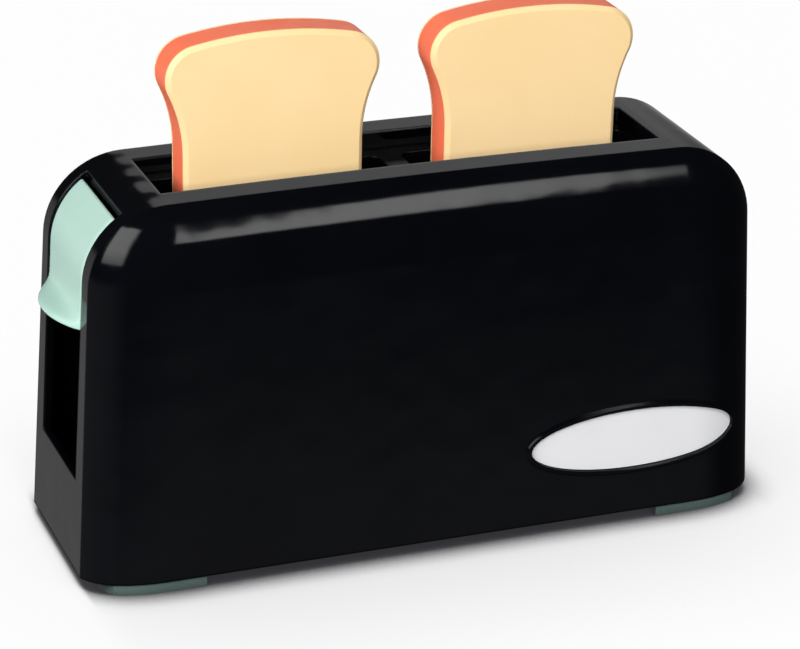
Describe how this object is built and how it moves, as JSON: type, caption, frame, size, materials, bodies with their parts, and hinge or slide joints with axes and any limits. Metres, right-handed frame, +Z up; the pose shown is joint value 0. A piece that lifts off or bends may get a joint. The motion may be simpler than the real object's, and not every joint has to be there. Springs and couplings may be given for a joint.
{
  "type": "toy toaster",
  "caption": "Long-slot toy pop-up toaster with a glossy rounded shell, a sliding end lever with a finger lip, pad feet, a bare oval plate and lift-out play bread slices.",
  "frame": {"origin": "on the floor under the centre of the whole toy's bounding box, finger lip included", "axes": "+X along the housing away from the lever end, +Y to the back, away from the face with the oval plate, +Z up"},
  "size_m": [0.2026, 0.0688, 0.146],
  "materials": {
    "shell_black": "glossy moulded plastic with a soft, slightly wavy reflection",
    "inner_black": "plain moulded plastic",
    "mint": "satin moulded plastic",
    "badge_white": "bare white plate",
    "crust": "satin moulded plastic",
    "crumb": "satin moulded plastic",
    "steel": "plain drawn steel"
  },
  "bodies": {
    "housing": {"body_shell": "shell_black", "badge_plate": "badge_white", "base_plate": "inner_black", "base_screws": "steel", "foot_left": "mint", "foot_right": "mint", "bread_guide": "inner_black", "guide_screws": "steel", "guide_rod_left": "steel", "guide_rod_right": "steel", "return_spring": "steel"},
    "carriage": {"bread_tray": "inner_black", "lever": "mint", "lever_screws": "steel"},
    "slice_left": {"slice_left_crust": "crust", "slice_left_face_front": "crumb", "slice_left_face_back": "crumb"},
    "slice_right": {"slice_right_crust": "crust", "slice_right_face_front": "crumb", "slice_right_face_back": "crumb"}
  },
  "joints": [
    {"name": "lever_slide", "type": "slide", "parent": "housing", "child": "carriage", "axis": [0, 0, 1], "range_m": [-0.042, 0], "stiffness_N_per_m": 60, "springref_m": 0.02, "deforming": ["return_spring"]},
    {"name": "slice_left_lift", "type": "slide", "parent": "carriage", "child": "slice_left", "axis": [0, 0, 1], "range_m": [0, 0.06]},
    {"name": "slice_right_lift", "type": "slide", "parent": "carriage", "child": "slice_right", "axis": [0, 0, 1], "range_m": [0, 0.06]}
  ]
}
